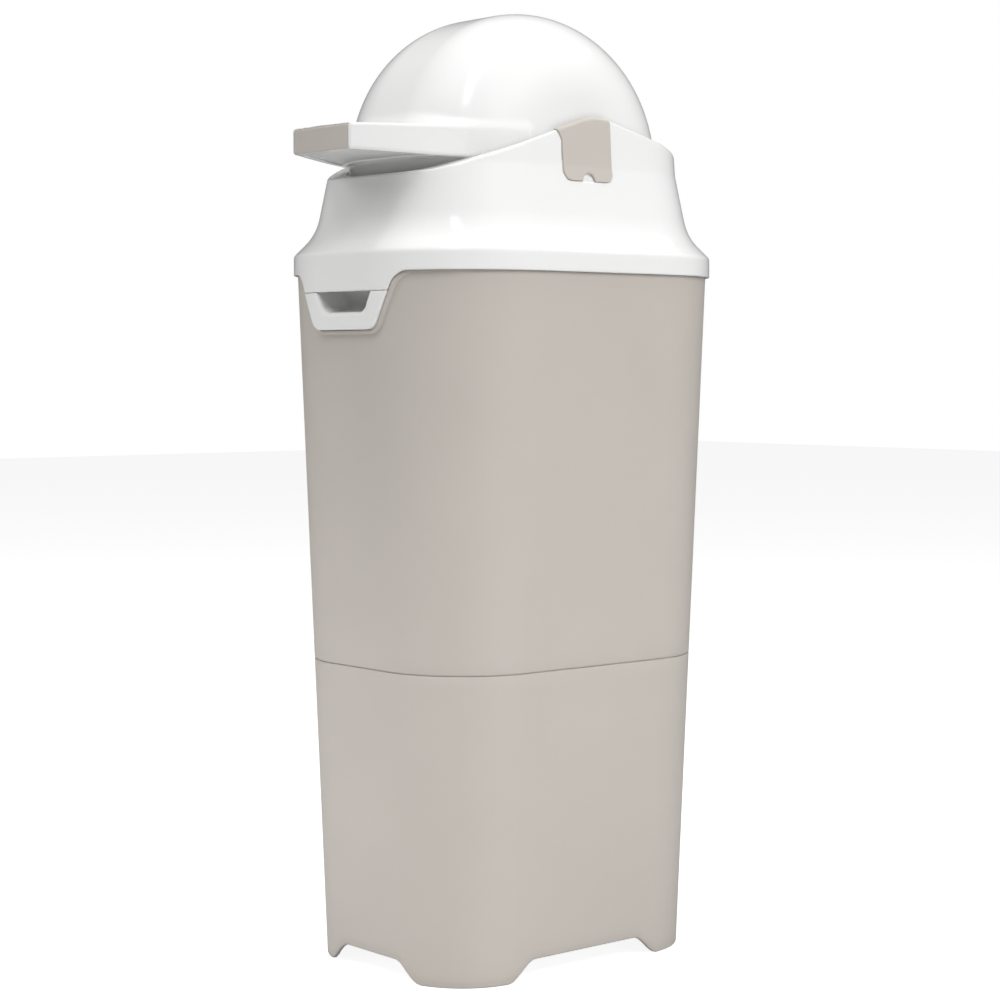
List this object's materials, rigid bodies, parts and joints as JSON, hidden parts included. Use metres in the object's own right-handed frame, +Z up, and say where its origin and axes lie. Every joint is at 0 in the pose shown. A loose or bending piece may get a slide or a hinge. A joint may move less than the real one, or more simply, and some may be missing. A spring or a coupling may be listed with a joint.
{
  "type": "nappy bin",
  "caption": "Tall nappy bin with arched feet, a two-piece tapered body, a hinged lid with side clips, and a turning drum with a front handle.",
  "frame": {"origin": "centre of the overall box on the floor, which is also the centre of the body's footprint", "axes": "+Z up, -Y towards the handle at the front, +X along the drum's axis, to the right of a person who stands in front of the handle"},
  "size_m": [0.2424, 0.348, 0.7132],
  "materials": {
    "body_plastic": "satin taupe moulded plastic",
    "trim_plastic": "satin taupe moulded plastic",
    "white_plastic": "glossy white moulded plastic",
    "inner_plastic": "plain light grey moulded plastic",
    "seal_rubber": "matt black rubber",
    "steel": "zinc plated"
  },
  "bodies": {
    "bin": {"lower_body": "body_plastic", "upper_body": "body_plastic", "bag_ring": "white_plastic", "hinge_pin": "steel"},
    "lid": {"lid_cover": "white_plastic", "lid_inner_frame": "white_plastic", "lid_gasket": "seal_rubber", "lid_screws": "steel", "front_drum_seal": "seal_rubber", "rear_drum_seal": "seal_rubber"},
    "drum": {"drum_dome": "white_plastic", "grip_tip": "trim_plastic", "handle_underplate": "inner_plastic", "drum_deck": "white_plastic", "drum_screws": "steel", "chamber_tube": "inner_plastic", "mouth_ring": "inner_plastic", "bush_left": "inner_plastic", "bush_right": "inner_plastic", "axle_seal_left": "seal_rubber", "axle_seal_right": "seal_rubber"},
    "piston": {"piston_cup": "inner_plastic", "piston_weight": "steel", "piston_seal": "seal_rubber", "piston_cap": "inner_plastic"},
    "left_clip": {"clip_left": "trim_plastic", "axle_left": "inner_plastic"},
    "right_clip": {"clip_right": "trim_plastic", "axle_right": "inner_plastic"}
  },
  "joints": [
    {"name": "lid_hinge", "type": "hinge", "parent": "bin", "child": "lid", "pos_m": [0, 0.167, 0.52], "axis": [-1, 0, 0], "range_deg": [0, 100]},
    {"name": "drum_flip", "type": "hinge", "parent": "lid", "child": "drum", "pos_m": [0, 0, 0.5977], "axis": [-1, 0, 0], "range_deg": [0, 155]},
    {"name": "piston_slide", "type": "slide", "parent": "drum", "child": "piston", "axis": [0, 0, 1], "range_m": [0, 0.075]},
    {"name": "left_clip_slide", "type": "slide", "parent": "lid", "child": "left_clip", "axis": [-1, 0, 0], "range_m": [0, 0.02]},
    {"name": "right_clip_slide", "type": "slide", "parent": "lid", "child": "right_clip", "axis": [1, 0, 0], "range_m": [0, 0.02]}
  ]
}
